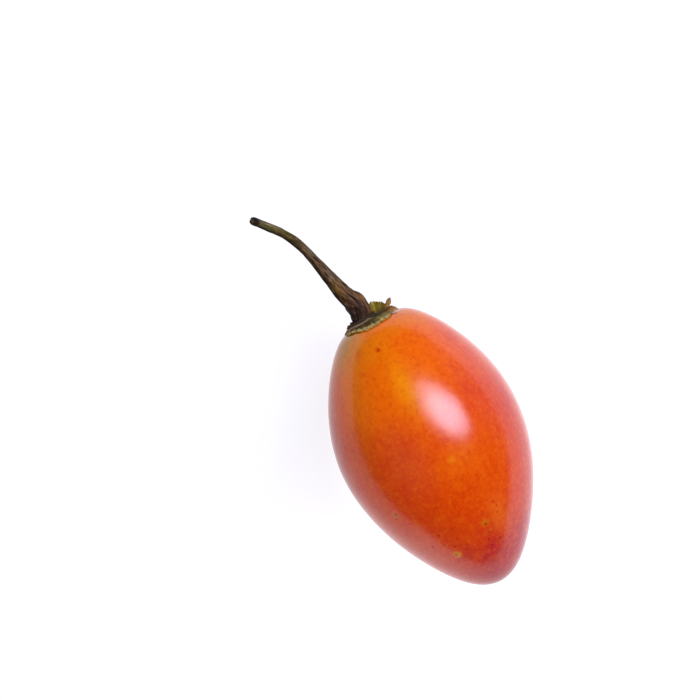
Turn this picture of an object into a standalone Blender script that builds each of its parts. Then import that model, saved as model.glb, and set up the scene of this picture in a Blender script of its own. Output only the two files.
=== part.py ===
"""A ripe tamarillo as picked: an egg-shaped fruit with its dried calyx and its woody stem, on its side.

All lengths are in metres. The pieces are modelled in the fruit's own frame and hang from one empty that
lays the fruit down. In that frame +Z runs along the fruit from the seat of the calyx to the tip, +Y is the
side that ends up on top, and +X is to the right of someone who looks down on the fruit with its tip
towards them.
"""

import math

import bmesh
import bpy
from mathutils import Euler, Vector

# The fruit is an egg: at an angle from its stem pole, the radius is
# FRUIT_RADIUS * sine * (1 + BLUNT_STEM * cosine - SLIM_ENDS * cosine^2 + ROUND_ENDS * cosine^4).
EGG_LENGTH = 0.0720
FRUIT_RADIUS = 0.02247
BLUNT_STEM = 0.079
SLIM_ENDS = 0.280
ROUND_ENDS = 0.114
SEAT_DEPTH = 0.0025  # the stem pole is flattened by this much, down to the seat of the calyx
SEAT_ROUNDING = 0.0014  # how softly the flat seat turns into the shoulder
OVALNESS = 0.008  # share by which the cross-section is wider one way
THREE_SIDEDNESS = 0.004
OVAL_TURN = math.radians(35)
THREE_SIDED_TURN = math.radians(-60)
FRUIT_SIDES = 56
FRUIT_STATIONS = 42

# It lies with its tip a little lower than its stem end, on a flat spot under its belly.
DIP = math.radians(5)
FLAT_DEPTH = 0.0006

# The calyx: a dried saucer, off the fruit's axis, that lies on the shoulder in front and bends up behind.
CALYX_CENTRE = Vector((-0.0011, 0.0, 0.0))
GAP = 0.0003  # between one piece and the next
BEND_START = 0.0024  # distance from the calyx's centre, just outside the foot of the stem
# Its edge, by direction in degrees: the calyx's length that way, and how many degrees it bends up to there.
CALYX_EDGE = (
    (0, 0.0086, 64),
    (12, 0.0064, 36),
    (28, 0.0083, 8),
    (44, 0.0072, 6),
    (76, 0.0079, 3),
    (100, 0.0077, 3),
    (124, 0.0064, 5),
    (168, 0.0064, 6),
    (184, 0.0052, 20),
    (204, 0.0057, 36),
    (236, 0.0062, 34),
    (268, 0.0055, 64),
    (300, 0.0079, 112),
    (332, 0.0064, 88),
    (360, 0.0086, 64),
)
CALYX_STEPS = (0.0, 0.28, 0.42, 0.56, 0.68, 0.80, 0.91, 1.0)
CENTRE_THICKNESS = 0.0011
EDGE_THICKNESS = 0.0007
CALYX_SIDES = 90

# The stem: its centre line from its foot on the calyx outwards, and its radius along it.
STEM_FOOT_SHIFT = -0.0010  # sideways from the calyx's centre
STEM_PATH = (
    (0.0, 0.0, 0.0),
    (0.0002, 0.0001, -0.0019),
    (-0.0002, 0.0003, -0.0041),
    (-0.0012, 0.0006, -0.0067),
    (-0.0028, 0.0012, -0.0122),
    (-0.0041, 0.0018, -0.0171),
    (-0.0056, 0.0025, -0.0217),
    (-0.0080, 0.0031, -0.0261),
    (-0.0103, 0.0036, -0.0288),
    (-0.0134, 0.0041, -0.0322),
)
# Distance along the stem, and the radius there.
STEM_WIDTHS = (
    (0.0000, 0.00246),
    (0.0019, 0.00252),
    (0.0042, 0.00242),
    (0.0056, 0.00222),
    (0.0072, 0.00200),
    (0.0102, 0.00174),
    (0.0130, 0.00150),
    (0.0158, 0.00128),
    (0.0187, 0.00116),
    (0.0230, 0.00108),
    (0.0282, 0.00100),
    (0.0350, 0.00098),
    (0.0361, 0.00078),
)
STEM_RIDGES = 5
RIDGE_HEIGHT = 0.07  # share of the radius
STEM_SIDES = 20
STEM_RINGS = 46


def egg_ring(angle):
    """Radius and height of the plain egg at an angle from its stem pole."""
    cosine = math.cos(angle)
    shape = 1 + BLUNT_STEM * cosine - SLIM_ENDS * cosine**2 + ROUND_ENDS * cosine**4
    return FRUIT_RADIUS * math.sin(angle) * shape, EGG_LENGTH * 0.5 * (1 - cosine) - SEAT_DEPTH


def fruit_outline():
    """Radius and height of each ring from pole to pole, with the stem pole flattened to the seat."""
    rings = []
    for i in range(FRUIT_STATIONS + 1):
        radius, height = egg_ring(math.pi * i / FRUIT_STATIONS)
        if i < FRUIT_STATIONS / 2:
            height = 0.5 * (height + math.hypot(height, SEAT_ROUNDING))
        rings.append((radius, height))
    return rings


def between(table, x):
    """Value at x on the straight lines through the table's (x, value) rows."""
    for (x0, y0), (x1, y1) in zip(table, table[1:]):
        if x <= x1:
            return y0 + (y1 - y0) * max(x - x0, 0.0) / (x1 - x0)
    return table[-1][1]


def shoulder_height(radius):
    """Height of the stem half's skin at a distance from the fruit's axis."""
    return between(fruit_outline()[: FRUIT_STATIONS // 2 - 1], radius)


def touch_down():
    """Radius and height on the fruit where its skin slopes by the dip, so that it is the lowest there."""
    rings = fruit_outline()[FRUIT_STATIONS // 3 :]
    for (r0, z0), (r1, z1), (r2, z2) in zip(rings, rings[1:], rings[2:]):
        slope, next_slope = (r0 - r1) / (z1 - z0), (r1 - r2) / (z2 - z1)
        if next_slope > math.tan(DIP):
            share = (math.tan(DIP) - slope) / (next_slope - slope)
            height = 0.5 * (z0 + z1) + share * 0.5 * (z2 - z0)
            return between([(z0, r0), (z1, r1), (z2, r2)], height), height


def smooth_path(points, count):
    """Points on the Catmull-Rom curve through the given points."""
    line = [Vector(p) for p in points]
    line = [2 * line[0] - line[1], *line, 2 * line[-1] - line[-2]]
    path = []
    for i in range(count):
        t = i / (count - 1) * (len(points) - 1)
        k = min(int(t), len(points) - 2)
        u = t - k
        a, b, c, d = line[k : k + 4]
        bend = (2 * a - 5 * b + 4 * c - d) * u**2 + (3 * (b - c) + d - a) * u**3
        path.append(0.5 * (2 * b + (c - a) * u + bend))
    return path


def plain_material(name, colour, roughness):
    material = bpy.data.materials.new(name)
    material.use_nodes = True
    shader = material.node_tree.nodes["Principled BSDF"]
    shader.inputs["Base Color"].default_value = (*colour, 1.0)
    shader.inputs["Roughness"].default_value = roughness
    shader.inputs["Metallic"].default_value = 0.0
    return material


def add_object(name, data, parent):
    obj = bpy.data.objects.new(name, data)
    bpy.context.scene.collection.objects.link(obj)
    obj.parent = parent
    return obj


def finish(name, bm, material, parent):
    """Turns a bmesh into a smooth-shaded object that hangs from the parent."""
    bmesh.ops.recalc_face_normals(bm, faces=bm.faces)
    mesh = bpy.data.meshes.new(name)
    bm.to_mesh(mesh)
    bm.free()
    mesh.materials.append(material)
    mesh.shade_smooth()
    mesh.set_sharp_from_angle(angle=math.radians(50))
    return add_object(name, mesh, parent)


def hide_from_build(obj):
    obj.hide_render = True
    obj.display_type = "WIRE"


def make_laid_down():
    """The empty that lays the fruit on its side, with the centre of its flat spot at the world's origin."""
    radius, height = touch_down()
    empty = add_object("laid_down", None, None)
    empty.rotation_euler = Euler((math.radians(90) + DIP, 0.0, 0.0))
    lowest = empty.rotation_euler.to_matrix() @ Vector((0.0, -radius, height))
    empty.location = Vector((0.0, 0.0, -FLAT_DEPTH)) - lowest
    return empty


def make_floor_cutter():
    """A block under the floor, which cuts the flat spot that the fruit rests on."""
    bm = bmesh.new()
    bmesh.ops.create_cube(bm, size=EGG_LENGTH)
    bmesh.ops.translate(bm, verts=bm.verts, vec=(0, 0, -EGG_LENGTH / 2))
    mesh = bpy.data.meshes.new("floor_cutter")
    bm.to_mesh(mesh)
    bm.free()
    cutter = add_object("floor_cutter", mesh, None)
    hide_from_build(cutter)
    return cutter


def make_fruit(parent):
    """The outline spun round the axis, made slightly oval, then cut flat where it rests."""
    bm = bmesh.new()
    points = [bm.verts.new((radius, 0.0, height)) for radius, height in fruit_outline()]
    edges = [bm.edges.new(pair) for pair in zip(points, points[1:])]
    turn = {"axis": (0, 0, 1), "cent": (0, 0, 0), "angle": 2 * math.pi, "steps": FRUIT_SIDES}
    bmesh.ops.spin(bm, geom=points + edges, **turn)
    bmesh.ops.remove_doubles(bm, verts=bm.verts, dist=1e-6)
    for vert in bm.verts:
        angle = math.atan2(vert.co.y, vert.co.x)
        middle = max(math.sin(math.pi * vert.co.z / EGG_LENGTH), 0.0)
        swell = OVALNESS * math.cos(2 * (angle - OVAL_TURN))
        swell += THREE_SIDEDNESS * math.cos(3 * (angle - THREE_SIDED_TURN))
        vert.co.x *= 1 + swell * middle
        vert.co.y *= 1 + swell * middle
    skin = plain_material("tamarillo_skin", (0.66, 0.065, 0.006), 0.3)
    fruit = finish("fruit", bm, skin, parent)
    cut = fruit.modifiers.new("rest_spot", "BOOLEAN")
    cut.operation = "DIFFERENCE"
    cut.object = make_floor_cutter()


def calyx_edge(degrees):
    """(length, bend) of the calyx in a direction, on the straight lines through the table of its edge."""
    for (start, length, bend), (end, next_length, next_bend) in zip(CALYX_EDGE, CALYX_EDGE[1:]):
        if degrees <= end:
            share = (degrees - start) / (end - start)
            return length + (next_length - length) * share, math.radians(bend + (next_bend - bend) * share)


def calyx_point(angle, step, on_top):
    """A point of the calyx, which bends up along an arc: on its underside, or one thickness above that."""
    length, bend = calyx_edge(math.degrees(angle))
    arc = max(length * step - BEND_START, 0.0)
    slope = bend * arc / (length - BEND_START)
    chord = 2 * arc * math.sin(slope / 2) / slope if slope > 0 else arc
    out = length * step - arc + chord * math.cos(slope / 2)
    lift = GAP + chord * math.sin(slope / 2)
    if on_top:
        thickness = CENTRE_THICKNESS + (EDGE_THICKNESS - CENTRE_THICKNESS) * step
        out -= thickness * math.sin(slope)
        lift += thickness * math.cos(slope)
    x = CALYX_CENTRE.x + out * math.cos(angle)
    y = CALYX_CENTRE.y + out * math.sin(angle)
    return Vector((x, y, shoulder_height(math.hypot(x, y)) - lift))


def make_calyx(parent):
    """Rings from the middle of the underside out to the edge and back over the top to the middle."""
    sides = [(step, False) for step in CALYX_STEPS] + [(step, True) for step in reversed(CALYX_STEPS)]
    angles = [2 * math.pi * i / CALYX_SIDES for i in range(CALYX_SIDES)]
    bm = bmesh.new()
    rings = [[bm.verts.new(calyx_point(a, step, on_top)) for a in angles] for step, on_top in sides]
    for ring, following in zip(rings, rings[1:]):
        for i in range(CALYX_SIDES):
            bm.faces.new((ring[i - 1], ring[i], following[i], following[i - 1]))
    bmesh.ops.remove_doubles(bm, verts=bm.verts, dist=1e-6)
    finish("calyx", bm, plain_material("dry_calyx", (0.10, 0.085, 0.02), 0.75), parent)


def make_ridged_ring():
    """A closed curve of radius 1 with shallow ridges, clockwise so that the swept stem faces outwards."""
    curve = bpy.data.curves.new("stem_section", "CURVE")
    curve.dimensions = "2D"
    curve.fill_mode = "NONE"
    ring = curve.splines.new("POLY")
    ring.points.add(STEM_SIDES - 1)
    for i, point in enumerate(ring.points):
        angle = -2 * math.pi * i / STEM_SIDES
        radius = 1 + RIDGE_HEIGHT * math.cos(STEM_RIDGES * angle)
        point.co = (radius * math.cos(angle), radius * math.sin(angle), 0.0, 1.0)
    ring.use_cyclic_u = True
    section = add_object("stem_section", curve, None)
    hide_from_build(section)
    return section


def make_stem(parent):
    """The ridged ring swept along the stem's centre line, wide at the foot and thin in the middle."""
    foot = CALYX_CENTRE + Vector((STEM_FOOT_SHIFT, 0.0, calyx_point(0.0, 0.0, True).z - GAP))
    path = [foot + p for p in smooth_path(STEM_PATH, STEM_RINGS)]
    curve = bpy.data.curves.new("stem", "CURVE")
    curve.dimensions = "3D"
    curve.bevel_mode = "OBJECT"
    curve.bevel_object = make_ridged_ring()
    curve.use_fill_caps = True
    spline = curve.splines.new("POLY")
    spline.points.add(STEM_RINGS - 1)
    along = 0.0
    for i, place in enumerate(path):
        along += (place - path[max(i - 1, 0)]).length
        spline.points[i].co = (*place, 1.0)
        spline.points[i].radius = between(STEM_WIDTHS, along)
    curve.materials.append(plain_material("woody_stem", (0.075, 0.055, 0.022), 0.7))
    add_object("stem", curve, parent)


def main():
    for obj in list(bpy.data.objects):
        bpy.data.objects.remove(obj)
    lying = make_laid_down()
    make_fruit(lying)
    make_calyx(lying)
    make_stem(lying)


main()
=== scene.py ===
# %% [markdown]
# # A ripe tamarillo on a white table
#
# A tamarillo, or tree tomato, is an egg-shaped berry that hangs from a long woody stem. This one was
# picked with its stem on and lies on its side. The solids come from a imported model: a fruit, a calyx and
# a stem. They have the right form and size, but few faces and one plain colour each. This lesson replaces
# each with a finer piece of the same form, worked out with numpy, and gives it a skin, bark or dried leaf
# that reads like the real one.

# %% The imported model
import math

import bpy
import numpy as np
from mathutils import Matrix, Vector


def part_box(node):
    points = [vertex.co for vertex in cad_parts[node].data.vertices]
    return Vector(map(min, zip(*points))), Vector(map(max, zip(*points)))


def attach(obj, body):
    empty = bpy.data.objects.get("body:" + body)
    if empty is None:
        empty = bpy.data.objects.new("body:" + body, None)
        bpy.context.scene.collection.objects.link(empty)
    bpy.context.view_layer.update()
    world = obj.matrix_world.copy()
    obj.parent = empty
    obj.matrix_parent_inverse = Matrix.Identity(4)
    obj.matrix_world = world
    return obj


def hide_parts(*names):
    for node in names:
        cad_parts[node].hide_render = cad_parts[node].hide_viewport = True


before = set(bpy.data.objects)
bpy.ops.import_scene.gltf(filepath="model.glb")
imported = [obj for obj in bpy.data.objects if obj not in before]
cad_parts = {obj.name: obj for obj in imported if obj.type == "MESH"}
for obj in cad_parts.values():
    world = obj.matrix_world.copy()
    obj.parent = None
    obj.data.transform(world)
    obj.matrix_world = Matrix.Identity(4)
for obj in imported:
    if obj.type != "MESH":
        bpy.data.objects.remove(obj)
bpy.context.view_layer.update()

for node in ("fruit", "calyx", "stem"):
    low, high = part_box(node)
    print(node, "box in mm:", [round(1000 * (b - a), 1) for a, b in zip(low, high)])

# %% [markdown]
# ## Helpers
#
# Colours are picked as sRGB hex values, as on a screen, but light is mixed in linear values, so one
# function turns the first into the second. Another adds a shader node with its settings and its links,
# and two more make what every natural surface here needs: a closed mesh from rings of points, and soft
# random relief.

# %% Colours and nodes
def from_hex(colour):
    """Linear red, green, blue and alpha of an sRGB hex colour: the screen's curve, undone."""
    screen = np.array([int(colour[i : i + 2], 16) for i in (1, 3, 5)]) / 255
    linear = np.where(screen <= 0.04045, screen / 12.92, ((screen + 0.055) / 1.055) ** 2.4)
    return np.array([*linear, 1.0])


def add_node(tree, kind, inputs=(), **settings):
    """Adds a shader node with its settings.

    inputs pairs a socket's name or number with a value or with another node's output."""
    node = tree.nodes.new("ShaderNode" + kind)
    for name, value in settings.items():
        setattr(node, name, value)
    for socket, value in dict(inputs).items():
        if isinstance(value, bpy.types.NodeSocket):
            tree.links.new(value, node.inputs[socket])
        else:
            node.inputs[socket].default_value = value
    return node


def new_material(name, roughness, ior):
    """A material with an empty Principled shader: returns the material, its node tree and the shader."""
    material = bpy.data.materials.new(name)
    material.use_nodes = True
    shader = material.node_tree.nodes["Principled BSDF"]
    shader.inputs["Roughness"].default_value = roughness
    shader.inputs["IOR"].default_value = ior
    print("finish", name, "with a roughness of", roughness)
    return material, material.node_tree, shader


# %% Meshes and relief
# The kind of attribute for one number, a vector or a colour a point, and the name of its field.
ATTRIBUTE_KINDS = {1: ("FLOAT", "value"), 3: ("FLOAT_VECTOR", "vector"), 4: ("FLOAT_COLOR", "color")}


def closed_skin(name, rings, **per_point):
    """A closed mesh from rings of points, an array of (rings, points, 3).

    Neighbouring rings are joined by quads, and each end is closed by a fan of triangles to the middle of
    its ring. per_point gives attributes: one value, vector or colour for each point of the rings."""
    rows, columns, _ = rings.shape
    count = rows * columns
    corners = np.vstack([rings.reshape(-1, 3), rings[0].mean(axis=0), rings[-1].mean(axis=0)])
    here = np.arange(count).reshape(rows, columns)
    after = np.roll(here, -1, axis=1)
    quads = np.stack([here[:-1], after[:-1], after[1:], here[1:]], axis=-1).reshape(-1, 4)
    first_fan = np.stack([np.full(columns, count), after[0], here[0]], axis=-1)
    last_fan = np.stack([np.full(columns, count + 1), here[-1], after[-1]], axis=-1)
    mesh = bpy.data.meshes.new(name)
    mesh.from_pydata(corners.tolist(), [], [*quads.tolist(), *first_fan.tolist(), *last_fan.tolist()])
    mesh.shade_smooth()
    for label, values in per_point.items():
        width = values.shape[2] if values.ndim == 3 else 1
        flat = values.reshape(count, width)
        flat = np.vstack([flat, flat[:columns].mean(axis=0), flat[-columns:].mean(axis=0)])
        kind, field = ATTRIBUTE_KINDS[width]
        attribute = mesh.attributes.new(label, kind, "POINT")
        attribute.data.foreach_set(field, flat.astype(np.float32).ravel())
    obj = bpy.data.objects.new(name, mesh)
    bpy.context.scene.collection.objects.link(obj)
    print(name, "has", len(mesh.polygons), "faces")
    return obj


def ripples(points, size, seed, waves=24):
    """Soft random relief, mostly between -1 and 1.

    It is the sum of sine waves of about one size in random directions, over the root of their number."""
    random = np.random.default_rng(seed)
    ways = random.normal(size=(waves, 3))
    ways /= np.linalg.norm(ways, axis=1, keepdims=True)
    lengths = size * random.uniform(0.7, 1.4, size=(waves, 1))
    phases = random.uniform(0, 2 * np.pi, size=waves)
    return np.sin(points @ (2 * np.pi * ways / lengths).T + phases).sum(axis=-1) / math.sqrt(waves)


def ease(x, start, end):
    """0 before start, 1 after end, and a smooth S-curve between them: 3 s squared minus 2 s cubed."""
    share = np.clip((x - start) / (end - start), 0, 1)
    return share * share * (3 - 2 * share)


def blend(colour, other, share):
    """Mixes two colours, or arrays of colours, by an array of shares."""
    return colour + (other - colour) * share[..., None]


# %% [markdown]
# ## The fruit's form
#
# The berry is a skin stretched by what grows inside it, so it has one smooth curve from end to end: blunt
# at the stem, fullest a little before the middle, and tapering to a soft point. A lathe profile of
# hand-placed points would do, but every point is a chance for a dent that the gloss would show. Here the
# radius is a sine with three small corrections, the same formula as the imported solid's, so the finer skin
# lies right on it.
#
# The model is made in the fruit's own frame, +Z from the calyx's seat to the tip, and then laid down.

# %% The egg and its place
EGG_LENGTH = 0.0720
FRUIT_RADIUS = 0.02247
BLUNT_STEM = 0.079
SLIM_ENDS = 0.280
ROUND_ENDS = 0.114
SEAT_DEPTH = 0.0025  # the stem pole is flattened by this much, down to the seat of the calyx
SEAT_ROUNDING = 0.0014
DIP = math.radians(5)  # the tip lies a little lower than the stem end
FLAT_DEPTH = 0.0006  # how deep the spot that it rests on is pressed in
TIP_HEIGHT = EGG_LENGTH - SEAT_DEPTH
OUTLINE_POINTS = 2001
SEAT_POINTS = 20  # the first of them, almost level across the seat
SHOULDER_POINTS = 900  # the first of them, over which the outline gets wider


def egg_ring(angle):
    """Radius and height at an angle from the stem pole: a sine with three corrections, and a cosine."""
    cosine = np.cos(angle)
    shape = 1 + BLUNT_STEM * cosine - SLIM_ENDS * cosine**2 + ROUND_ENDS * cosine**4
    height = EGG_LENGTH * 0.5 * (1 - cosine) - SEAT_DEPTH
    flattened = 0.5 * (height + np.hypot(height, SEAT_ROUNDING))
    return FRUIT_RADIUS * np.sin(angle) * shape, np.where(angle < np.pi / 2, flattened, height)


outline_angles = np.linspace(0, np.pi, OUTLINE_POINTS)
outline_radius, outline_height = egg_ring(outline_angles)
slope = -np.gradient(outline_radius) / np.gradient(outline_height)
tip_half = outline_angles > 0.45 * np.pi
touch_height = np.interp(math.tan(DIP), slope[tip_half], outline_height[tip_half])
touch_radius = np.interp(touch_height, outline_height[tip_half], outline_radius[tip_half])
turned = np.array(Matrix.Rotation(math.radians(90) + DIP, 3, "X"))
moved = np.array([0, 0, -FLAT_DEPTH]) - turned @ np.array([0, -touch_radius, touch_height])


def lay_down(points):
    """Points of the fruit's own frame, where they lie in the world: turned about X, then moved."""
    return points @ turned.T + moved


def on_skin(along, around):
    """A point of the plain egg in its own frame, from a share along from seat to tip and an angle from +X."""
    height = np.clip(along, 0, 1) * TIP_HEIGHT
    radius = np.interp(height, outline_height[SEAT_POINTS:], outline_radius[SEAT_POINTS:])
    return np.stack([radius * np.cos(around), radius * np.sin(around), height], axis=-1)


print("touches the table", round(1000 * touch_height, 1), "mm from its seat")

# %% The fruit's skin
OVALNESS = 0.008  # two lobes round the axis, as a share of the radius
THREE_SIDEDNESS = 0.004  # and three
OVAL_TURN = math.radians(35)
THREE_SIDED_TURN = math.radians(-60)
STYLE_SCAR_HEIGHT = 0.00012
STYLE_SCAR_RADIUS = 0.0009
WOBBLE_HEIGHT = 0.00008  # of the whole form, over a third of its length
WOBBLE_SIZE = 0.024
DIMPLE_HEIGHT = 0.000010  # shallow unevenness, which breaks up the gloss
DIMPLE_SIZE = 0.005
FRUIT_ROWS = 250
FRUIT_COLUMNS = 330


def fruit_skin():
    """Points of the skin, (rows, columns, 3) in the fruit's own frame, and each point's share along it.

    The egg's radius times a swell, which has two and three lobes round the axis and fades out at both
    ends, plus soft relief along the radius, and a small bell on the tip where the style dried off."""
    angle = np.pi * (np.arange(FRUIT_ROWS) + 0.5) / FRUIT_ROWS
    around = 2 * np.pi * np.arange(FRUIT_COLUMNS) / FRUIT_COLUMNS
    radius, height = egg_ring(angle)
    scar = np.exp(-((radius / STYLE_SCAR_RADIUS) ** 2)) * (angle > np.pi / 2)
    height = height + STYLE_SCAR_HEIGHT * scar
    middle = np.maximum(np.sin(np.pi * height / EGG_LENGTH), 0)[:, None]
    oval = OVALNESS * np.cos(2 * (around - OVAL_TURN))
    three_sided = THREE_SIDEDNESS * np.cos(3 * (around - THREE_SIDED_TURN))
    radius = radius[:, None] * (1 + (oval + three_sided) * middle)
    ring = np.stack([np.cos(around), np.sin(around)], axis=-1)
    level = np.broadcast_to(height[:, None, None], (*radius.shape, 1))
    points = np.concatenate([radius[..., None] * ring, level], axis=-1)
    relief = WOBBLE_HEIGHT * ripples(points, WOBBLE_SIZE, 3) + DIMPLE_HEIGHT * ripples(points, DIMPLE_SIZE, 4)
    points[..., :2] += (relief * middle)[..., None] * ring
    return points, points[..., 2] / TIP_HEIGHT


fruit_points, along = fruit_skin()
around = np.degrees(np.arctan2(fruit_points[..., 1], fruit_points[..., 0]))

# %% [markdown]
# ## How it ripened
#
# A tamarillo colours unevenly: it stays golden round the calyx, turns orange and then orange-red over the
# belly, and goes crimson at the tip, with redder cheeks where the sun was and paler streaks between them.
# The darker red of the left flank, and part of that of the right flank, is painted shade.
# That could be a painted image. Here each zone is a named colour with a place on the skin, given as a
# share along the fruit and degrees around it, and numpy mixes them into a colour for every point. The
# shader adds what is finer than the mesh.

# %% Zones of ripeness
GOLDEN = from_hex("#c26002")
ORANGE = from_hex("#c45202")
BELLY_RED = from_hex("#ba3e02")
LOWER_RED = from_hex("#b93602")
CRIMSON = from_hex("#9a1622")
# Patches: share along, degrees around, size along, size around, how strong, colour.
PATCHES = (
    (0.03, 145, 0.07, 24, 0.85, "#907404"),  # olive by the calyx, on the left
    (0.22, 91, 0.09, 8, 0.90, "#c87202"),  # a yellower streak down from the calyx
    (0.15, 50, 0.10, 26, 0.60, "#c44a06"),  # a redder shoulder on the right
    (0.33, 50, 0.10, 20, 0.80, "#b43408"),  # the red cheek
    (0.20, 26, 0.10, 16, 0.80, "#b02c06"),
    (0.16, 132, 0.14, 13, 0.75, "#b86408"),
    (0.40, 138, 0.12, 12, 0.55, "#a04004"),
    (0.35, 168, 0.25, 20, 0.85, "#941602"),  # painted shade: the left flank, darker red away from the light
    (0.65, 150, 0.25, 22, 0.70, "#ba4010"),
    (0.86, 140, 0.10, 24, 0.60, "#be4428"),
    (0.50, 26, 0.28, 18, 0.90, "#a4180c"),  # the red right flank, partly its skin and partly painted shade
    # the right side of the tip: its crimson, darkened further by painted shade
    (0.90, 40, 0.12, 50, 0.85, "#9a0e20"),
    (0.55, 118, 0.14, 20, 0.60, "#b33002"),
    (0.52, 80, 0.05, 14, 0.60, "#c25604"),
    (0.745, 67, 0.07, 9, 0.60, "#c65a10"),
    (0.42, 112, 0.07, 13, 0.60, "#b03402"),
    (0.60, -110, 0.25, 50, 0.55, "#c04a06"),  # paler underneath
)


def bell(along, around, centre_along, centre_around, size_along, size_around):
    """1 at a place on a piece, falling off as a bell: a distance or share along it and degrees around it."""
    aside = (around - centre_around + 180) % 360 - 180
    return np.exp(-(((along - centre_along) / size_along) ** 2) - (aside / size_around) ** 2)


# The zones' edges wander by a few hundredths of the fruit's length.
wander = 0.03 * ripples(fruit_points, 0.014, 5) + 0.02 * ripples(fruit_points, 0.005, 6)
skin_colour = blend(GOLDEN, ORANGE, ease(along + wander, 0.02, 0.16))
skin_colour = blend(skin_colour, BELLY_RED, ease(along + wander, 0.20, 0.46))
skin_colour = blend(skin_colour, LOWER_RED, ease(along + wander, 0.50, 0.74))
skin_colour = blend(skin_colour, CRIMSON, ease(along + wander, 0.80, 0.97))
for *place_and_size, strength, colour in PATCHES:
    share = strength * bell(along, around, *place_and_size) * (1 + 4 * wander)
    skin_colour = blend(skin_colour, from_hex(colour), np.clip(share, 0, 1))
skin_colour = np.clip(skin_colour, 0, 1)
print("mean skin colour, linear:", skin_colour.mean(axis=(0, 1)).round(3))

# %% The fruit as an object
laid_skin = lay_down(fruit_points)
laid_skin[..., 2] = np.maximum(laid_skin[..., 2], 0)  # pressed flat where it rests
fruit = closed_skin("tamarillo_fruit", laid_skin, ripeness=skin_colour, grown=1000 * fruit_points)
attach(fruit, "root")
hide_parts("fruit")

# %% [markdown]
# ## The skin's finish
#
# The skin is thin, tough and waxy, over flesh that lets a little light through. To the eye that is a
# clear gloss with soft edges over a deep colour, and pale reflections of the table along the rims. The
# colour itself is uneven at three sizes, each both paler and redder: clouds of three millimetres, mottles
# of one and stipples of a half. On it lie scattered dark lenticels, the pores of the fruit, towards the
# tip, and single spots and scars, some of them pale with a dark middle. A photo of skin could be wrapped
# round it. Noise of the real sizes needs no picture, and has no seam. The attribute "grown" holds each
# point's place in the fruit's own frame, so that sizes are true on the skin.

# %% Waxed tamarillo skin
CLOUD_MM = 3.2
MOTTLE_MM = 1.1
STIPPLE_MM = 0.5
LENTICEL_SPACING_MM = 2.4
LENTICEL_RADIUS_MM = 0.20
LENTICEL_SHARE = 0.30  # of the places where one could grow, those that have one
LENTICEL_ONSET_MM = (28.0, 55.0)  # distances from the seat between which they get stronger
# Single marks: share along, degrees around, radius in mm, colour.
MARKS = (
    (0.085, 99, 0.90, "#9c1000"),
    (0.820, 116, 1.55, "#b8780c"),
    (0.819, 117, 0.50, "#5a2004"),
    (0.607, 137, 1.40, "#b0580a"),
    (0.605, 136, 0.55, "#5c1404"),
    (0.622, 138, 0.40, "#6a1c06"),
    (0.547, 133, 0.50, "#701606"),
    (0.730, 118, 0.55, "#4c0c04"),
    (0.762, 130, 0.50, "#601004"),
    (0.770, 120, 0.45, "#701004"),
    (0.755, 116, 0.40, "#8a1204"),
    (0.790, 113, 0.50, "#6a1206"),
    (0.765, 107, 0.50, "#941604"),
    (0.800, 102, 0.45, "#941604"),
    (0.755, 81, 1.50, "#b05a04"),
    (0.760, 81, 0.65, "#7a2c04"),
    (0.788, 79, 0.70, "#b4540c"),
    (0.792, 80, 0.40, "#7a1c08"),
    (0.830, 72, 0.55, "#8a101a"),
    (0.850, 70, 0.45, "#8a101a"),
    (0.700, 70, 0.45, "#9c2204"),
    (0.719, 68, 0.40, "#8a2404"),
    (0.741, 69, 0.40, "#7c2004"),
    (0.815, 83, 0.45, "#8a1414"),
    (0.840, 82, 0.50, "#86101a"),
    (0.817, 106, 0.45, "#941604"),
    (0.505, 85, 1.30, "#c06208"),
    (0.985, 77, 0.80, "#4a2c28"),
)


def overlay(tree, colour, pattern, start, end, share, paint):
    """Mixes a paint over a colour: none of it where the pattern is at start, a share of it at end."""
    amount = {"Value": pattern, "From Min": start, "From Max": end, "To Max": share}
    amount = add_node(tree, "MapRange", amount, interpolation_type="SMOOTHSTEP").outputs["Result"]
    mixed = {0: amount, 6: colour, 7: from_hex(paint)}  # 6 and 7 are the sockets of the two colours
    return add_node(tree, "Mix", mixed, data_type="RGBA").outputs[2]


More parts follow.
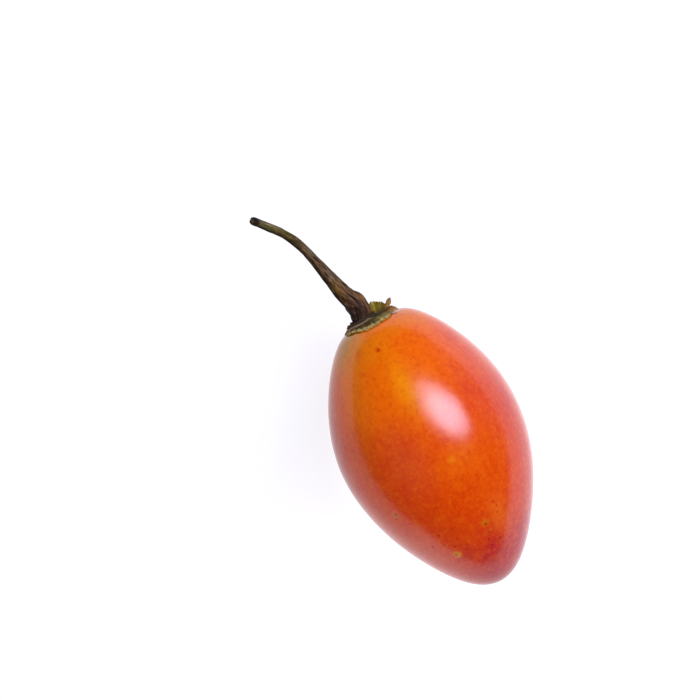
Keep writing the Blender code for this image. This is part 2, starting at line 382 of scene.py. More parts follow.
def paint_skin():
    """Colour from how it ripened and the painted shade, then clouds, mottles, stipples, lenticels and marks,
    each over the last.
    """
    material, tree, shader = new_material("waxed_tamarillo_skin", 0.19, 1.42)  # wax: a soft, clear gloss
    # Red light spreads furthest in the flesh, by about two millimetres, which softens the shading.
    shader.inputs["Subsurface Weight"].default_value = 0.06
    shader.inputs["Subsurface Radius"].default_value = (1.0, 0.25, 0.1)
    shader.inputs["Subsurface Scale"].default_value = 0.002
    place = add_node(tree, "Attribute", attribute_name="grown").outputs["Vector"]
    colour = add_node(tree, "Attribute", attribute_name="ripeness").outputs["Color"]
    patterns = []
    for size, detail in ((CLOUD_MM, 3.0), (MOTTLE_MM, 2.0), (STIPPLE_MM, 1.0)):
        noise = {"Vector": place, "Scale": 1 / size, "Detail": detail, "Roughness": 0.6}
        patterns.append(add_node(tree, "TexNoise", noise).outputs["Fac"])
    clouds, mottles, stipples = patterns
    colour = overlay(tree, colour, clouds, 0.50, 0.78, 0.26, "#c45604")
    colour = overlay(tree, colour, clouds, 0.50, 0.22, 0.30, "#a82002")
    colour = overlay(tree, colour, mottles, 0.50, 0.72, 0.26, "#c86004")
    colour = overlay(tree, colour, mottles, 0.50, 0.28, 0.28, "#981802")
    colour = overlay(tree, colour, stipples, 0.55, 0.75, 0.20, "#cc6c08")
    colour = overlay(tree, colour, stipples, 0.45, 0.27, 0.16, "#901402")
    pores = {"Vector": place, "Scale": 1 / LENTICEL_SPACING_MM, "Randomness": 1.0}
    pores = add_node(tree, "TexVoronoi", pores)
    radius = LENTICEL_RADIUS_MM / LENTICEL_SPACING_MM
    near = {"Value": pores.outputs["Distance"], "From Min": 1.3 * radius, "From Max": 0.3 * radius}
    near = add_node(tree, "MapRange", near, interpolation_type="SMOOTHSTEP").outputs["Result"]
    some = add_node(tree, "SeparateColor", {"Color": pores.outputs["Color"]}).outputs["Red"]
    some = add_node(tree, "Math", {0: some, 1: 1 - LENTICEL_SHARE}, operation="GREATER_THAN").outputs["Value"]
    start, end = LENTICEL_ONSET_MM
    lower = add_node(tree, "SeparateXYZ", {"Vector": place}).outputs["Z"]
    lower = add_node(tree, "MapRange", {"Value": lower, "From Min": start, "From Max": end}).outputs["Result"]
    share = add_node(tree, "Math", {0: some, 1: lower}, operation="MULTIPLY").outputs["Value"]
    share = add_node(tree, "Math", {0: share, 1: near}, operation="MULTIPLY").outputs["Value"]
    colour = overlay(tree, colour, share, 0.0, 1.0, 0.8, "#701404")
    for mark_along, mark_around, radius, mark_colour in MARKS:
        centre = 1000 * on_skin(mark_along, math.radians(mark_around))
        far = add_node(tree, "VectorMath", {0: place, 1: centre}, operation="DISTANCE").outputs["Value"]
        ragged = {0: stipples, 1: -0.9 * radius, 2: far}
        ragged = add_node(tree, "Math", ragged, operation="MULTIPLY_ADD").outputs["Value"]
        colour = overlay(tree, colour, ragged, 0.6 * radius, -0.3 * radius, 0.85, mark_colour)
    tree.links.new(colour, shader.inputs["Base Color"])
    gloss = {"Value": mottles, "From Min": 0.3, "From Max": 0.7, "To Min": 0.18, "To Max": 0.20}
    gloss = add_node(tree, "MapRange", gloss).outputs["Result"]
    tree.links.new(gloss, shader.inputs["Roughness"])
    bump = {"Height": mottles, "Strength": 0.10, "Distance": 0.00002}
    tree.links.new(add_node(tree, "Bump", bump).outputs["Normal"], shader.inputs["Normal"])
    return material


fruit.data.materials.append(paint_skin())

# %% [markdown]
# ## The calyx
#
# Five sepals held the flower, and they dried where the fruit meets its stem. On the real fruit they are a
# thin, crinkled saucer with torn edges. In front it lies on the shoulder: a dark hollow between a torn
# inner rim and a pale lip. Behind it stands up round the stem as a yellow-green wall, and one strip at
# the side has curled away. Cloth or sculpting could make it. Here it is again one function of two
# parameters, a direction round the calyx and a step from its middle to its edge, taken once over the top
# and back along the underside, so it is closed and has a real thickness. Each direction is a strip that
# starts flat and bends up evenly, so it is an arc of a circle, whose chord gives how far out and up a
# point is.

# %% The dried calyx
# Places in the fruit's own frame, whose +Z points from the seat into the fruit, so the stem lies at minus Z.
STEM_FOOT = np.array([-0.0021, 0.0, -0.0015])  # where the stem's line starts, just off the calyx
CALYX_CENTRE = np.array([-0.0011, 0.0])
BEND_START = 0.0024  # distance from the calyx's centre, about the radius of the stem's foot
# Its edge, by direction in degrees: the calyx's length that way, and how many degrees it bends up to there.
CALYX_EDGE = np.array(
    (
        (0, 0.0088, 84),
        (9, 0.0062, 42),
        (28, 0.0085, 8),
        (44, 0.0079, 6),
        (76, 0.0079, 3),
        (100, 0.0077, 3),
        (124, 0.0064, 5),
        (168, 0.0064, 6),
        (184, 0.0052, 20),
        (204, 0.0057, 36),
        (236, 0.0062, 34),
        (268, 0.0055, 64),
        (300, 0.0079, 112),
        (332, 0.0070, 92),
        (349, 0.0062, 72),
        (360, 0.0088, 84),
    )
)
CENTRE_THICKNESS = 0.0011
EDGE_THICKNESS = 0.00035
FRONT_LIP = 0.0009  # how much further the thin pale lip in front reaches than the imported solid
# The torn inner rim in front, by direction in degrees: how far out it stands.
TORN_RIM = np.array(((80, 0.0046), (100, 0.0047), (112, 0.0054), (122, 0.0059), (170, 0.0056)))
TORN_RIM_HEIGHT = 0.00045
TORN_RIM_WIDTH = 0.00023
TORN_RIM_WANDER = 0.00016
COLLAR_HEIGHT = 0.0009  # a low ring round the stem's foot, which it grew out of
COLLAR_RADIUS = 0.0030
COLLAR_WIDTH = 0.00035
STRIP_WIDTH = 8  # of the curled strip, in degrees to each side
HOOK_OUT = 0.0004  # how far its tip hooks outwards
HOOK_DOWN = 0.0008  # and down
VEIN_HEIGHT = 0.00010
CRINKLE_HEIGHT = 0.00012
CREASE_HEIGHT = 0.00006
CLEARANCE = 0.0001  # between the calyx and the fruit
CALYX_COLUMNS = 540
CALYX_ROWS = 48


def calyx_skin():
    """Points over the top from middle to edge and back along the underside. With each go its direction in
    degrees, its metres along the strip, its share of the way to the edge, 1 on top or 0 underneath, and
    its share of the torn rim.

    The strip's slope grows evenly from nothing where it starts to bend. A point on top stands off the sheet
    by the thickness, and off that by the torn rim and the collar, which are bells across a line. The edge
    wanders, veins run outwards, crinkles cross them, and the tip of the curled strip hooks over."""
    around = 2 * np.pi * np.arange(CALYX_COLUMNS) / CALYX_COLUMNS
    direction = np.degrees(around)
    length = np.interp(direction, CALYX_EDGE[:, 0], CALYX_EDGE[:, 1])
    bend = np.radians(np.interp(direction, CALYX_EDGE[:, 0], CALYX_EDGE[:, 2]))
    compass = np.stack([np.cos(around), np.sin(around), np.zeros_like(around)], axis=-1)
    lip = ease(direction, 40, 60) * (1 - ease(direction, 125, 170))
    length = length + FRONT_LIP * lip + (1 - 0.6 * lip) * 0.00014 * ripples(compass, 0.10, 12)
    length = length + 0.00010 * ripples(compass, 0.30, 11)
    out = np.sin(0.5 * np.pi * (np.arange(CALYX_ROWS) + 0.5) / CALYX_ROWS)
    step = np.concatenate([out, out[::-1]])[:, None]
    on_top = np.concatenate([np.ones(CALYX_ROWS), np.zeros(CALYX_ROWS)])[:, None]
    arc = np.maximum(length * step - BEND_START, 0)
    slope = bend * arc / (length - BEND_START)
    chord = arc * np.sinc(slope / (2 * np.pi))
    distance = length * step - arc + chord * np.cos(slope / 2)
    rise = chord * np.sin(slope / 2)
    thickness = CENTRE_THICKNESS + (EDGE_THICKNESS - CENTRE_THICKNESS) * step**0.8
    thickness = thickness * np.sqrt(np.clip(1 - step**12, 0.02, 1))  # rounded off at the edge
    front = ease(direction, 66, 84) * (1 - ease(direction, 165, 178))
    torn = np.interp(direction, TORN_RIM[:, 0], TORN_RIM[:, 1])
    torn = torn + TORN_RIM_WANDER * ripples(compass, 0.25, 17)
    rim = front * np.exp(-(((length * step - torn) / TORN_RIM_WIDTH) ** 2))
    sheet = np.concatenate([distance[..., None] * compass[:, :2], 0 * distance[..., None]], axis=-1)
    veins = VEIN_HEIGHT * ripples(compass, 0.17, 16)
    crinkles = CRINKLE_HEIGHT * ripples(sheet, 0.0019, 13)
    creases = CREASE_HEIGHT * ripples(sheet, 0.0007, 14)
    relief = ((veins + crinkles) * (1 - 0.5 * lip) + creases) * ease(step, 0.40, 0.90)
    top = thickness + TORN_RIM_HEIGHT * rim + 0.00005 * ripples(sheet, 0.0010, 15)
    off_sheet = np.maximum(relief, -0.8 * CLEARANCE) + on_top * top  # no crease reaches the fruit
    strip = np.exp(-(((direction + 180) % 360 - 180) / STRIP_WIDTH) ** 2)
    hook = strip * np.clip((step - 0.80) / 0.20, 0, 1) ** 2
    distance = distance - off_sheet * np.sin(slope) + HOOK_OUT * hook
    rise = rise + off_sheet * np.cos(slope) - HOOK_DOWN * hook
    flat = CALYX_CENTRE + distance[..., None] * compass[:, :2]
    from_foot = np.linalg.norm(flat - STEM_FOOT[:2], axis=-1)
    rise = rise + on_top * COLLAR_HEIGHT * np.exp(-(((from_foot - COLLAR_RADIUS) / COLLAR_WIDTH) ** 2))
    shoulder = outline_radius[:SHOULDER_POINTS], outline_height[:SHOULDER_POINTS]
    seat = np.interp(np.linalg.norm(flat, axis=-1), *shoulder)
    points = np.concatenate([flat, (seat - CLEARANCE - rise)[..., None]], axis=-1)
    everywhere = 0 * length * step
    return points, direction + everywhere, length * step, step + everywhere, on_top + everywhere, rim


calyx_points, direction, strip_mm, outwards, on_top, torn_rim = calyx_skin()
strip_mm = 1000 * strip_mm

# %% [markdown]
# ## The calyx's finish
#
# Dead sepals are papery and brown: nearly black round the stem's foot, yellow-green on the wall that
# dried last, and pale along torn edges. The hollow inside the cup is darker still with a painted shadow. An
# image could be drawn for them. Here, as on the skin, each zone is a named colour with a place on the
# sheet, with darker and paler veins that run outwards, and the shader adds mottles of half a millimetre.

# %% Colours of the calyx
calyx_grain = ripples(calyx_points, 0.0016, 21)
heading = np.radians(direction)
calyx_veins = ripples(np.stack([np.cos(heading), np.sin(heading), 0 * heading], axis=-1), 0.12, 22)
band = ease(direction, 40, 58) * (1 - ease(direction, 150, 176))
hollow = 0.9 * band * ease(strip_mm, 3.6, 4.2)
green_patch = 0.8 * bell(strip_mm, direction, 7.0, 58, 1.8, 18)
pale_lip = band * ease(outwards + 0.008 * calyx_grain, 0.885, 0.940)
dark_veins = 0.45 * ease(calyx_veins, 0.6, 1.6) * ease(outwards, 0.3, 0.6)
pale_veins = 0.40 * ease(-calyx_veins, 0.7, 1.7) * ease(outwards, 0.5, 0.8)
calyx_colour = blend(from_hex("#2a2010"), from_hex("#4d4117"), ease(strip_mm + 0.5 * calyx_grain, 3.0, 5.2))
calyx_colour = blend(calyx_colour, from_hex("#36290c"), hollow)
calyx_colour = blend(calyx_colour, from_hex("#7a6c28"), green_patch)
calyx_colour = blend(calyx_colour, from_hex("#8e7843"), pale_lip)
# Places: distance out in millimetres, direction in degrees, size out, size around, how strong, colour.
CALYX_PATCHES = (
    (3.4, 128, 1.3, 50, 0.85, "#33271a"),  # the dark ring in front of the stem's foot
    (5.6, 176, 1.6, 16, 0.80, "#3e2306"),
    (5.6, 205, 2.2, 22, 0.90, "#3e2816"),
    (5.6, 318, 2.6, 26, 0.90, "#9c8022"),  # the yellow-green wall behind
    (4.0, 322, 0.8, 30, 0.60, "#66521a"),
    (7.6, 304, 0.7, 18, 0.70, "#a08a3c"),
    (3.6, 10, 1.1, 30, 0.85, "#33240a"),  # painted shadow in the hollow inside the cup
    (6.6, 0, 2.4, 9, 0.85, "#755723"),  # the curled strip
    (7.6, 352, 2.0, 4, 0.85, "#9a642c"),  # its paler edges
    (7.6, 8, 2.0, 4, 0.85, "#9a642c"),
    (7.6, 30, 1.4, 11, 0.90, "#a4723e"),  # the pale flake
    (5.0, 26, 0.9, 14, 0.80, "#592109"),
)
for *place_and_size, strength, colour in CALYX_PATCHES:
    share = strength * bell(strip_mm, direction, *place_and_size)
    calyx_colour = blend(calyx_colour, from_hex(colour), share)
calyx_colour = blend(calyx_colour, from_hex("#221506"), dark_veins)
calyx_colour = blend(calyx_colour, from_hex("#a4884a"), pale_veins)
calyx_colour = blend(calyx_colour, from_hex("#987c60"), 0.85 * torn_rim * on_top)
calyx_colour = blend(calyx_colour, from_hex("#3e2a0e"), 0.6 * (1 - on_top))
calyx_colour = np.clip(calyx_colour, 0, 1)
calyx = closed_skin("dried_calyx", lay_down(calyx_points), sepal=calyx_colour, grown=1000 * calyx_points)
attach(calyx, "root")
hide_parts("calyx")

# %% Dried sepal
CALYX_FIBRE_MM = 0.5


def paint_calyx():
    """The sepals' colours and painted shadow, darkened in fine mottles, with papery relief."""
    material, tree, shader = new_material("dried_sepal", 0.75, 1.3)  # papery, dull, with hardly any sheen
    shader.inputs["Specular IOR Level"].default_value = 0.2
    place = add_node(tree, "Attribute", attribute_name="grown").outputs["Vector"]
    colour = add_node(tree, "Attribute", attribute_name="sepal").outputs["Color"]
    fibres = {"Vector": place, "Scale": 1 / CALYX_FIBRE_MM, "Detail": 4.0}
    fibres = add_node(tree, "TexNoise", fibres).outputs["Fac"]
    share = add_node(tree, "MapRange", {"Value": fibres, "From Min": 0.52, "From Max": 0.70, "To Max": 0.65})
    darker = {0: share.outputs["Result"], 6: colour, 7: from_hex("#241a10")}
    colour = add_node(tree, "Mix", darker, data_type="RGBA").outputs[2]
    tree.links.new(colour, shader.inputs["Base Color"])
    bump = add_node(tree, "Bump", {"Height": fibres, "Strength": 0.6, "Distance": 0.0002})
    tree.links.new(bump.outputs["Normal"], shader.inputs["Normal"])
    return material


calyx.data.materials.append(paint_calyx())

# %% [markdown]
# ## The stem
#
# The stalk has turned to wood. It flares where it meets the calyx, bends, and narrows to its cut end,
# with ridges, grooves and knots all along. A curve with a round bevel would make a plain tube of it. Here
# it is a tube worked out along a bent line: the line is a smooth curve through a few points, each ring
# stands square to it, and the ridges, grooves and knots are added to the radius, so they are real
# geometry. Places on it are given by the millimetres along it and the degrees from its top.

# %% The woody stem
STEM_PATH = np.array(
    (
        (0.0, 0.0, 0.0),
        (0.0002, 0.0001, -0.0019),
        (-0.0002, 0.0003, -0.0041),
        (-0.0012, 0.0006, -0.0067),
        (-0.0028, 0.0012, -0.0122),
        (-0.0041, 0.0018, -0.0171),
        (-0.0056, 0.0025, -0.0217),
        (-0.0080, 0.0031, -0.0261),
        (-0.0103, 0.0036, -0.0288),
        (-0.0134, 0.0041, -0.0322),
    )
)
# Distance along the stem, and the radius there.
STEM_WIDTHS = np.array(
    (
        (0.0000, 0.00246),
        (0.0019, 0.00252),
        (0.0042, 0.00242),
        (0.0056, 0.00222),
        (0.0072, 0.00200),
        (0.0102, 0.00174),
        (0.0130, 0.00150),
        (0.0158, 0.00128),
        (0.0187, 0.00116),
        (0.0230, 0.00108),
        (0.0282, 0.00100),
        (0.0350, 0.00098),
        (0.0361, 0.00078),
    )
)
STEM_ROWS = 380
STEM_COLUMNS = 120
STEM_RIDGES = 5
RIDGE_HEIGHT = 0.06  # as a share of the radius
RIDGE_TWIST = 90  # radians a metre
# Rough bark: height in radii, size, and the number that its random waves start from.
ROUGH_BARK = ((0.035, 0.0014, 31), (0.028, 0.0006, 32))
END_ROUNDING = 0.0005  # the length at the cut end over which the edge is worn round
ALONG_SHRINK = 0.25  # of lengths along the stem, so that patterns on it come out four times as long as wide
WIDTH_SMOOTHING = 15  # rings over which the widths are averaged
# Knots and grooves: mm along, degrees from the top, size in mm, size in degrees, height in radii.
KNOTS = (
    (3.7, 74, 1.1, 26, 0.12),
    (0.6, 60, 0.8, 30, 0.07),
    (5.8, 22, 3.0, 7, -0.13),
    (6.0, 46, 2.6, 16, 0.08),
    (9.3, -16, 1.6, 16, 0.07),
    (4.6, -40, 1.2, 18, 0.08),
    (2.2, -6, 0.9, 20, -0.09),
    (13.2, 42, 0.9, 24, 0.10),
    (12.0, 5, 2.5, 9, -0.08),
    (17.5, 30, 2.5, 10, -0.09),
    (20.0, -35, 1.2, 30, 0.08),
    (24.5, 50, 1.0, 26, 0.12),
    (29.5, -10, 2.5, 12, -0.08),
)


def smooth_line(points, count):
    """Evenly spaced points on a smooth curve through some points, and the distance along to each.

    Each stretch is a cubic, which at a point runs as the line from the point before to the one after."""
    line = np.vstack([2 * points[0] - points[1], points, 2 * points[-1] - points[-2]])
    t = np.linspace(0, len(points) - 1, 4 * count)
    k = np.minimum(t.astype(int), len(points) - 2)
    u = (t - k)[:, None]
    a, b, c, d = line[k], line[k + 1], line[k + 2], line[k + 3]
    curve = 0.5 * (2 * b + (c - a) * u + (2 * a - 5 * b + 4 * c - d) * u**2 + (3 * (b - c) + d - a) * u**3)
    walked = np.concatenate([[0], np.cumsum(np.linalg.norm(np.diff(curve, axis=0), axis=1))])
    even = np.linspace(0, walked[-1], count)
    return np.stack([np.interp(even, walked, curve[:, i]) for i in range(3)], axis=-1), even


def stem_skin():
    """Points of the bark, (rows, columns, 3), the mm along and degrees from the top of each, the height of
    its relief, and its place on the stem if that were straight, in mm, with its length shrunk.

    The radius is the width there, times one plus ridges, knots, grooves and two sizes of rough bark."""
    line, walked = smooth_line(STEM_PATH, STEM_ROWS)
    ahead = np.gradient(line, axis=0)
    ahead /= np.linalg.norm(ahead, axis=1, keepdims=True)
    side = np.array([1.0, 0, 0]) - ahead * ahead[:, :1]
    side /= np.linalg.norm(side, axis=1, keepdims=True)
    around = 2 * np.pi * np.arange(STEM_COLUMNS) / STEM_COLUMNS
    over = np.cross(ahead, side)
    ring = side[:, None] * np.cos(around)[:, None] + over[:, None] * np.sin(around)[:, None]
    from_top = (np.degrees(around) - 270 + 180) % 360 - 180 + 0 * walked[:, None]
    mm = 1000 * walked[:, None] + 0 * around
    kernel = np.hanning(WIDTH_SMOOTHING)
    width = np.interp(walked, STEM_WIDTHS[:, 0], STEM_WIDTHS[:, 1])
    width = np.pad(width, WIDTH_SMOOTHING // 2, mode="edge")
    width = np.convolve(width, kernel / kernel.sum(), mode="valid")
    across = width[:, None] * np.cos(around), width[:, None] * np.sin(around)
    straight = np.stack([*across, ALONG_SHRINK * walked[:, None] + 0 * mm], axis=-1)
    relief = RIDGE_HEIGHT * np.cos(STEM_RIDGES * around + RIDGE_TWIST * walked[:, None])
    for height, size, seed in ROUGH_BARK:
        relief = relief + height * ripples(straight, size, seed)
    for *place_and_size, height in KNOTS:
        relief = relief + height * bell(mm, from_top, *place_and_size)
    rounded = 1 - 0.25 * ease(walked, walked[-1] - END_ROUNDING, walked[-1])[:, None]
    points = STEM_FOOT + line[:, None] + (width[:, None] * (1 + relief) * rounded)[..., None] * ring
    return points, mm, from_top, relief, 1000 * straight


stem_points, stem_mm, from_top, stem_relief, straightened = stem_skin()
print("stem is", round(stem_mm.max(), 1), "mm long")

# %% [markdown]
# ## The stem's finish
#
# Weathered bark is dry and drab: purple brown at the foot, paler brown further on, olive where it is
# younger and black where it was cut. A painted highlight lightens the ridges on the lit side, painted shade
# darkens the grooves nearly to black, and the side away from the light is painted nearly black. Fibres run
# along it, and noise in plain space would cross the bend. So each point also carries its place on the stem
# if that were straight, with the length shrunk, and the noise that reads it gives fibres four times as long
# as wide, which follow the bend.

# %% Colours of the stem
# Places: mm along, degrees from the top, size in mm, size in degrees, how strong, colour.
BARK_PATCHES = (
    (1.5, 0, 2.0, 45, 0.85, "#29160c"),  # dark purple brown at the foot
    (3.2, 10, 1.5, 28, 0.70, "#2f1d16"),
    (1.2, 66, 1.3, 18, 0.90, "#58391a"),
    (4.6, 56, 2.2, 15, 0.95, "#694723"),  # the lit ridge on the right
    (7.6, 36, 2.0, 14, 0.80, "#654429"),
    (5.8, 21, 2.6, 7, 0.95, "#1e110e"),  # painted shade in the groove beside it
    (6.2, 6, 2.2, 8, 0.85, "#64442e"),
    (5.6, -30, 1.8, 22, 0.80, "#3e2409"),
    (9.0, -16, 1.7, 24, 0.95, "#644711"),  # olive-yellow patch
    (8.6, -46, 1.8, 18, 0.70, "#3f2a05"),
    (10.6, 22, 1.6, 24, 0.80, "#664a2b"),
    (12.2, 14, 1.0, 18, 0.90, "#665738"),
    (13.4, 36, 0.8, 24, 0.90, "#46352f"),
    (14.6, -10, 2.0, 40, 0.80, "#593e28"),
    (18.5, 10, 3.0, 46, 0.85, "#513b22"),
    (20.6, 35, 1.6, 26, 0.80, "#625337"),
    (24.0, -10, 2.6, 60, 0.70, "#34270c"),
    (28.0, 10, 3.0, 60, 0.70, "#493e0a"),
    (31.5, -10, 2.5, 40, 0.80, "#3a3c13"),
    (32.0, 40, 2.5, 14, 0.80, "#746b45"),
)
last_mm = stem_mm.max()
bark_grain = ripples(straightened, 1.1, 41) + 0.7 * ripples(straightened, 0.45, 42)
stem_colour = blend(from_hex("#331f0f"), from_hex("#443117"), ease(stem_mm, 4, 14))
stem_colour = blend(stem_colour, from_hex("#3c310c"), ease(stem_mm + 3 * bark_grain, 20, 30))
for *place_and_size, strength, colour in BARK_PATCHES:
    share = strength * bell(stem_mm, from_top, *place_and_size) * (1 + 0.25 * bark_grain)
    stem_colour = blend(stem_colour, from_hex(colour), np.clip(share, 0, 1))
# painted highlight: paler on the raised ridges, only on the side towards the light
painted_ridge_highlight = 0.50 * ease(stem_relief, 0.06, 0.20) * (1 - ease(-from_top, 20, 60))
# painted shade: nearly black where the relief sinks into grooves
painted_groove_shade = 0.85 * ease(-stem_relief, 0.02, 0.13)
# painted shade: nearly black along the side of the stem away from the light
painted_shaded_side = 0.85 * ease(-from_top + 6 * bark_grain, 26, 54) * (1 - ease(-from_top, 130, 170))
cut_end = ease(stem_mm + 0.4 * bark_grain, last_mm - 3.0, last_mm - 1.4)
stem_colour = blend(stem_colour, from_hex("#7f6342"), painted_ridge_highlight)
stem_colour = blend(stem_colour, from_hex("#0f0703"), painted_groove_shade)
stem_colour = blend(stem_colour, from_hex("#0a0502"), painted_shaded_side)
stem_colour = blend(stem_colour, from_hex("#140b04"), cut_end)
stem_colour = np.clip(stem_colour, 0, 1)
stem = closed_skin("woody_stem", lay_down(stem_points), bark=stem_colour, straightened=straightened)
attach(stem, "root")
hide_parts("stem")

# %% Weathered bark
BARK_FIBRE_MM = 0.40


def paint_stem():
    """The bark's colours and painted light, with dark and pale fibres that run along the stem, and fine
    relief.
    """
    material, tree, shader = new_material("weathered_stem_bark", 0.65, 1.3)  # dry wood, nearly without gloss
    shader.inputs["Specular IOR Level"].default_value = 0.2
    place = add_node(tree, "Attribute", attribute_name="straightened").outputs["Vector"]
    colour = add_node(tree, "Attribute", attribute_name="bark").outputs["Color"]
    fibres = {"Vector": place, "Scale": 1 / BARK_FIBRE_MM, "Detail": 5.0}
    fibres = add_node(tree, "TexNoise", fibres).outputs["Fac"]
    colour = overlay(tree, colour, fibres, 0.50, 0.68, 0.75, "#0d0603")
    colour = overlay(tree, colour, fibres, 0.46, 0.30, 0.50, "#7a5a3a")
    tree.links.new(colour, shader.inputs["Base Color"])
    bump = add_node(tree, "Bump", {"Height": fibres, "Strength": 0.7, "Distance": 0.0002})
    tree.links.new(bump.outputs["Normal"], shader.inputs["Normal"])
    return material


stem.data.materials.append(paint_stem())

# %% [markdown]
# ## The table, the lights and the camera
#
# The fruit lies on a white table. One soft box hangs above it, to the right and behind, and its
# reflection is the rounded highlight on the top. It is brightest in the middle and fades out towards its
# edge, as cloth over a lamp does, which gives the highlight its soft edge. The table is lit from within,
# as a light table is, so it prints white nearly everywhere, fills the shadows, and shows along the
# fruit's rims as a pale, slightly lilac sheen. It is brighter in front of the fruit and to its right,
# where the sheen is strongest. A dim window low on the right lets the sheen on that side fade out softly,
# and a fill lamp on the left lifts that flank and leaves no highlight. The room is dark overhead and pale
# near the horizon, and is kept out of the gloss, so the colours on top stay deep.

# %% The table and the room
BRIGHT_SIDE = math.radians(40)  # from straight in front of the tip towards the right
DIM_LEVEL = 0.84  # how strongly the table shines behind the fruit
BRIGHT_LEVEL = 1.35  # and on its bright side
RISE_START = -0.035  # distances from the resting spot, towards the bright side, between which it rises
RISE_END = 0.030


def lit_table():
    """A large level square just under the fruit, lit from within, more so on its bright side.

    Its strength rises in a smooth curve with the distance from the fruit towards that side."""
    half = 1.5
    drop = -0.0001
    corners = [(-half, -half, drop), (half, -half, drop), (half, half, drop), (-half, half, drop)]
    mesh = bpy.data.meshes.new("white_table")
    mesh.from_pydata(corners, [], [(0, 1, 2, 3)])
    table = bpy.data.objects.new("white_table", mesh)
    bpy.context.scene.collection.objects.link(table)
    material, tree, shader = new_material("white_table_top", 0.7, 1.45)  # matt white board, lit from below
    shader.inputs["Base Color"].default_value = from_hex("#686868")
    shader.inputs["Emission Color"].default_value = from_hex("#fbfaff")
    place = add_node(tree, "TexCoord").outputs["Object"]
    ahead = {0: place, 1: (math.sin(BRIGHT_SIDE), -math.cos(BRIGHT_SIDE), 0.0)}
    ahead = add_node(tree, "VectorMath", ahead, operation="DOT_PRODUCT").outputs["Value"]
    level = {
        "Value": ahead,
        "From Min": RISE_START,
        "From Max": RISE_END,
        "To Min": DIM_LEVEL,
        "To Max": BRIGHT_LEVEL,
    }
    level = add_node(tree, "MapRange", level, interpolation_type="SMOOTHSTEP").outputs["Result"]
    tree.links.new(level, shader.inputs["Emission Strength"])
    mesh.materials.append(material)
    print("table:", 2 * half, "m wide")
    return table


lit_table()
world = bpy.data.worlds.new("dim_room")
bpy.context.scene.world = world
world.use_nodes = True
looking = add_node(world.node_tree, "TexCoord").outputs["Generated"]
upward = add_node(world.node_tree, "SeparateXYZ", {"Vector": looking}).outputs["Z"]
# From 0.8 near the horizon to 0.08 overhead, by the height of the direction that is looked in.
level = {"Value": upward, "From Min": 0.02, "From Max": 0.45, "To Min": 0.8, "To Max": 0.08}
level = add_node(world.node_tree, "MapRange", level, interpolation_type="SMOOTHSTEP").outputs["Result"]
sky = world.node_tree.nodes["Background"]
sky.inputs["Color"].default_value = from_hex("#e9e2ff")
world.cycles_visibility.glossy = False  # the room lights the skin but leaves no haze on it
world.node_tree.links.new(level, sky.inputs["Strength"])

# %% Lights
FRUIT_TOP = 0.04  # the height that the lights are aimed at


def aim(obj, place, back, right_turn):
    """Puts a light or a camera at a place, with its back along one direction and its right side level."""
    back = Vector(back).normalized()
    right = Vector((math.cos(right_turn), math.sin(right_turn), 0.0))
    right = (right - right.dot(back) * back).normalized()
    up = back.cross(right)
    obj.matrix_world = Matrix.Translation(place) @ Matrix((right, up, back)).transposed().to_4x4()


def soft_light(name, place, width, height, radiance, turn, tint):
    """An ellipse that faces the fruit and fades out towards its edge.

    Its power is its radiance in the middle times pi times its area, which is pi quarters of its box."""
    data = bpy.data.lights.new(name, "AREA")
    data.shape = "ELLIPSE"
    data.size, data.size_y = width, height
    data.energy = radiance * math.pi * (math.pi / 4 * width * height)
    data.color = from_hex(tint)[:3]
    data.use_nodes = True
    spot = add_node(data.node_tree, "NewGeometry").outputs["Parametric"]
    off = {0: spot, 1: (0.5, 0.5, 0.0)}
    off = add_node(data.node_tree, "VectorMath", off, operation="DISTANCE").outputs["Value"]
    fade = {"Value": off, "From Min": 0.50, "From Max": 0.14}
    fade = add_node(data.node_tree, "MapRange", fade, interpolation_type="SMOOTHSTEP").outputs["Result"]
    data.node_tree.links.new(fade, data.node_tree.nodes["Emission"].inputs["Strength"])
    light = bpy.data.objects.new(name, data)
    bpy.context.scene.collection.objects.link(light)
    aim(light, Vector(place), Vector(place) - Vector((0, 0, FRUIT_TOP)), turn)
    light.visible_camera = False
    print(name, "gives", round(data.energy, 2), "W")
    return light


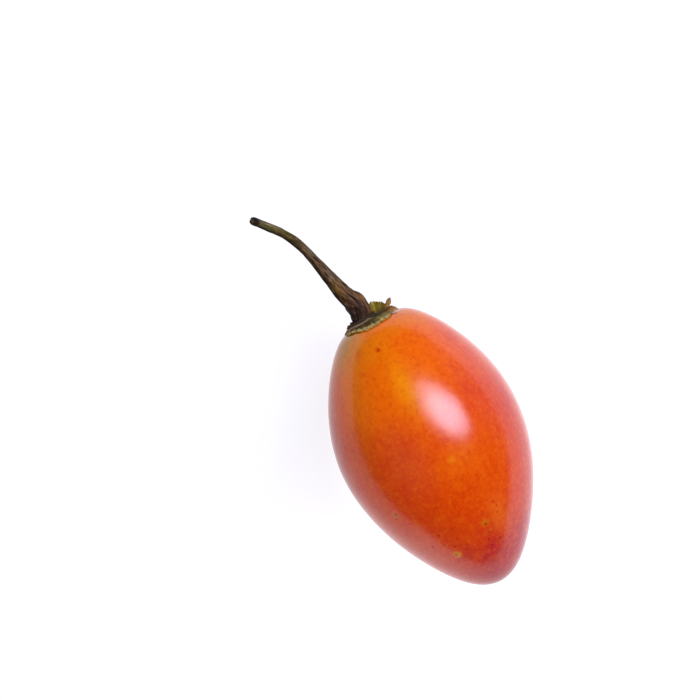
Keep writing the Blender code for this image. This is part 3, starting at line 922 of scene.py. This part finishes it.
soft_light(
    "soft_box",
    place=(0.291, 0.112, 0.580),
    width=0.78,
    height=0.54,
    radiance=19.8,
    turn=math.radians(-40),
    tint="#d8e0ff",
)
soft_light(
    "window",
    place=(0.57, 0.10, 0.16),
    width=1.0,
    height=0.42,
    radiance=0.55,
    turn=math.radians(100),
    tint="#e8e4ff",
)
fill = soft_light(
    "fill",
    place=(-0.33, -0.09, 0.40),
    width=0.70,
    height=0.70,
    radiance=2.2,
    turn=0.0,
    tint="#fff6f2",
)
fill.visible_glossy = False  # as through crossed polarisers, so that it adds no second highlight

# %% The camera
CAMERA_AZIMUTH = math.radians(-26.0)
CAMERA_ELEVATION = math.radians(90)
CAMERA_DISTANCE = 0.6
PHOTO_WIDTH_PX = 700
PX_PER_MM = 190 / 45  # the widest ring: its width in the photo over its real width
FRUIT_MIDDLE_PX = (436.3, 450.8)  # where the middle of the fruit's axis lies in the photo

middle = Vector(lay_down(np.array([0, 0, TIP_HEIGHT / 2])))
level = math.cos(CAMERA_ELEVATION)
aside = math.sin(CAMERA_AZIMUTH)
ahead = math.cos(CAMERA_AZIMUTH)
back = Vector((aside * level, -ahead * level, math.sin(CAMERA_ELEVATION)))
right = Vector((ahead, aside, 0))
to_right = (FRUIT_MIDDLE_PX[0] - PHOTO_WIDTH_PX / 2) / PX_PER_MM / 1000
to_top = (PHOTO_WIDTH_PX / 2 - FRUIT_MIDDLE_PX[1]) / PX_PER_MM / 1000
target = middle - right * to_right - back.cross(right) * to_top
lens = bpy.data.cameras.new("camera")
lens.sensor_width = 36  # millimetres
lens.lens = PX_PER_MM * 1000 * CAMERA_DISTANCE * lens.sensor_width / PHOTO_WIDTH_PX
camera = bpy.data.objects.new("camera", lens)
bpy.context.scene.collection.objects.link(camera)
aim(camera, target + back * CAMERA_DISTANCE, back, CAMERA_AZIMUTH)
bpy.context.scene.camera = camera
bpy.context.scene.view_settings.view_transform = "Standard"
print("lens", round(lens.lens, 1), "mm")

# %% Last update of the scene
bpy.context.view_layer.update()
